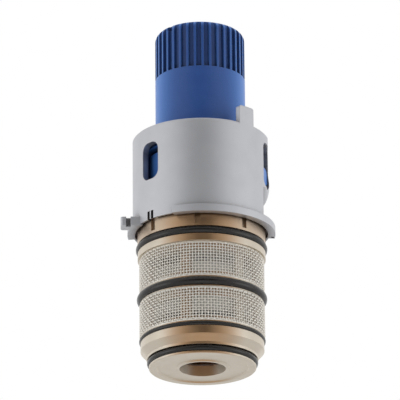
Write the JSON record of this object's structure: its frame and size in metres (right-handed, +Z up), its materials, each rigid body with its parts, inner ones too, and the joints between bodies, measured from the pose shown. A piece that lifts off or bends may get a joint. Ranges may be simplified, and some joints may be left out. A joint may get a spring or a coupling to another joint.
{
  "type": "thermostatic cartridge",
  "caption": "Thermostatic mixing cartridge: splined adjusting stem, windowed housing, brass valve body with strainers and sealing rings, wax element and piston inside.",
  "frame": {"origin": "centre of the bottom face, on the cartridge's axis", "axes": "+Z up the axis to the splined stem, -Y the front with the window at its left, +X the side with the long flat"},
  "size_m": [0.0348, 0.0334, 0.0803],
  "materials": {
    "blue_plastic": "satin moulded plastic",
    "grey_plastic": "satin light grey finish",
    "white_plastic": "plain moulded plastic",
    "turned_brass": "fine turned brass",
    "copper": "drawn copper alloy",
    "black_rubber": "moulded rubber",
    "woven_steel": "woven fine wire",
    "spring_steel": "stainless wire"
  },
  "bodies": {
    "cartridge_body": {"upper_housing": "grey_plastic", "thrust_washer": "white_plastic", "valve_body": "turned_brass", "collar_o_ring": "black_rubber", "centre_o_ring": "black_rubber", "lower_o_ring": "black_rubber", "cap_o_ring": "black_rubber", "upper_strainer": "woven_steel", "lower_strainer": "woven_steel", "return_spring": "spring_steel", "lower_seat": "white_plastic", "bottom_cap": "turned_brass"},
    "nut": {"regulating_nut": "blue_plastic", "retaining_clip": "spring_steel"},
    "sleeve": {"lift_sleeve": "blue_plastic", "spring_cap": "turned_brass", "overload_spring": "spring_steel"},
    "plunger": {"overload_plunger": "turned_brass", "plunger_o_ring": "black_rubber", "push_pin": "spring_steel"},
    "element": {"wax_capsule": "copper", "capsule_guide": "turned_brass", "capsule_retainer": "spring_steel", "control_piston": "white_plastic", "piston_o_ring": "black_rubber"}
  },
  "joints": [
    {"name": "nut_turn", "type": "hinge", "parent": "cartridge_body", "child": "nut", "pos_m": [0, 0, 0.05278], "axis": [0, 0, 1], "range_deg": [-152, 152]},
    {"name": "sleeve_lift", "type": "slide", "parent": "cartridge_body", "child": "sleeve", "axis": [0, 0, 1], "range_m": [-0.00083, 0.00083]},
    {"name": "overload_slide", "type": "slide", "parent": "sleeve", "child": "plunger", "axis": [0, 0, 1], "range_m": [0, 0.0008], "stiffness_N_per_m": 25000, "springref_m": -0.00004, "deforming": ["overload_spring"]},
    {"name": "thermal_slide", "type": "slide", "parent": "plunger", "child": "element", "axis": [0, 0, -1], "range_m": [0, 0.0008], "stiffness_N_per_m": 4000, "springref_m": -0.00005, "deforming": ["return_spring"]}
  ],
  "couplings": [
    {"joint": "nut_turn", "follows": "sleeve_lift", "rad_per_m": -3141.6}
  ]
}
